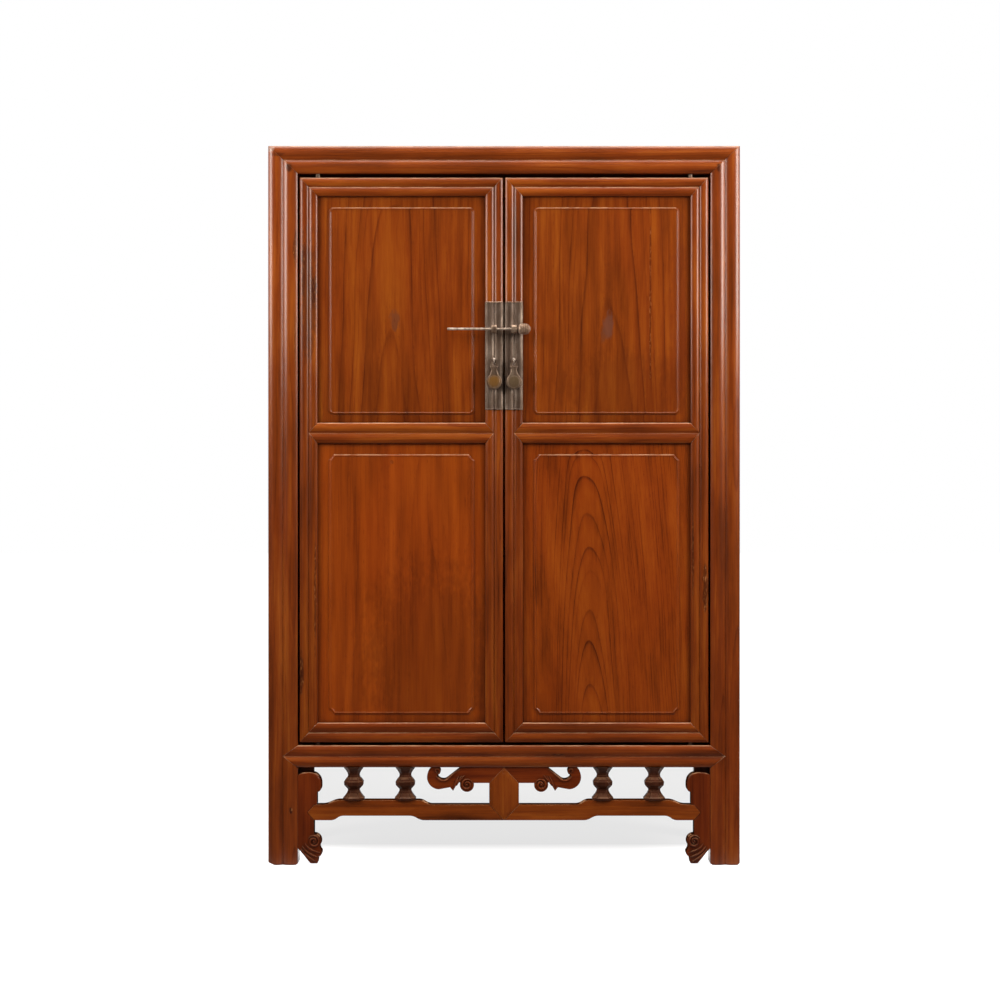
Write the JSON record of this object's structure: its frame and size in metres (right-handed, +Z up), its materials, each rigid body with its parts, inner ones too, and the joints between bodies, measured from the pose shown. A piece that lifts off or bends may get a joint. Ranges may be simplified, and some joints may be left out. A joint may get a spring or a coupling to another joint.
{
  "type": "double door cabinet",
  "caption": "Tall elm cabinet with two panelled doors on pivots, brass face plates, a sliding latch pin, drop pulls and a carved openwork apron on square posts.",
  "frame": {"origin": "on the floor, under the middle of the whole cabinet's bounding box, hardware included", "axes": "+Z up, +X to the right seen from the front, +Y from the doors to the back"},
  "size_m": [1.05, 0.5116, 1.6],
  "materials": {
    "elm_frame": "stained elm, glossy clear lacquer, dark in the grooves",
    "elm_panel": "flat-sawn stained elm, glossy clear lacquer",
    "plain_wood": "thinly stained softwood, matt",
    "dark_elm": "dark brown stained wood, satin",
    "aged_brass": "aged brass, brown patina, rubbed bright on the ridges",
    "worn_brass": "aged brass, worn golden where it is held",
    "bright_brass": "brass, rubbed bright by use"
  },
  "bodies": {
    "carcass": {"post_front_left": "elm_frame", "post_front_right": "elm_frame", "post_back_left": "elm_frame", "post_back_right": "elm_frame", "top_rail_front": "elm_frame", "top_rail_back": "elm_frame", "top_rail_left": "elm_frame", "top_rail_right": "elm_frame", "bottom_rail_front": "elm_frame", "bottom_rail_back": "elm_frame", "bottom_rail_left": "elm_frame", "bottom_rail_right": "elm_frame", "mid_rail_left": "elm_frame", "mid_rail_right": "elm_frame", "mid_rail_back": "elm_frame", "side_panels_left": "elm_panel", "side_panels_right": "elm_panel", "back_panels": "plain_wood", "top_board": "elm_panel", "top_battens": "plain_wood", "floor_board": "plain_wood", "floor_battens": "plain_wood", "shelf_lower": "plain_wood", "shelf_upper": "plain_wood", "shelf_bearers": "plain_wood", "stretcher_left": "elm_frame", "stretcher_right": "elm_frame", "centre_block": "elm_frame", "cloud_scroll_left": "elm_frame", "cloud_scroll_right": "elm_frame", "bracket_left": "elm_frame", "bracket_right": "elm_frame", "balusters": "dark_elm", "side_apron_left": "elm_frame", "side_apron_right": "elm_frame"},
    "door_left": {"door_left_hinge_stile": "elm_frame", "door_left_meeting_stile": "elm_frame", "door_left_top_rail": "elm_frame", "door_left_mid_rail": "elm_frame", "door_left_bottom_rail": "elm_frame", "door_left_panel_upper": "elm_panel", "door_left_panel_lower": "elm_panel", "door_left_pivots": "aged_brass", "door_left_face_plate": "aged_brass", "door_left_lock_knob": "aged_brass", "door_left_pull_eye": "aged_brass"},
    "door_right": {"door_right_hinge_stile": "elm_frame", "door_right_meeting_stile": "elm_frame", "door_right_top_rail": "elm_frame", "door_right_mid_rail": "elm_frame", "door_right_bottom_rail": "elm_frame", "door_right_panel_upper": "elm_panel", "door_right_panel_lower": "elm_panel", "door_right_pivots": "aged_brass", "door_right_face_plate": "aged_brass", "door_right_lock_knob": "aged_brass", "door_right_pull_eye": "aged_brass"},
    "pull_left": {"pull_left": "worn_brass"},
    "pull_right": {"pull_right": "worn_brass"},
    "latch_pin": {"latch_pin": "bright_brass"}
  },
  "joints": [
    {"name": "door_left_hinge", "type": "hinge", "parent": "carcass", "child": "door_left", "pos_m": [-0.415, -0.20925, 0.9], "axis": [0, 0, -1], "range_deg": [0, 110]},
    {"name": "door_right_hinge", "type": "hinge", "parent": "carcass", "child": "door_right", "pos_m": [0.415, -0.20925, 0.9], "axis": [0, 0, 1], "range_deg": [0, 110]},
    {"name": "latch_pin_slide", "type": "slide", "parent": "door_right", "child": "latch_pin", "axis": [1, 0, 0], "range_m": [0, 0.13]},
    {"name": "pull_left_swing", "type": "hinge", "parent": "door_left", "child": "pull_left", "pos_m": [-0.022, -0.23095, 1.122], "axis": [-1, 0, 0], "range_deg": [0, 75]},
    {"name": "pull_right_swing", "type": "hinge", "parent": "door_right", "child": "pull_right", "pos_m": [0.022, -0.23095, 1.122], "axis": [-1, 0, 0], "range_deg": [0, 75]}
  ]
}
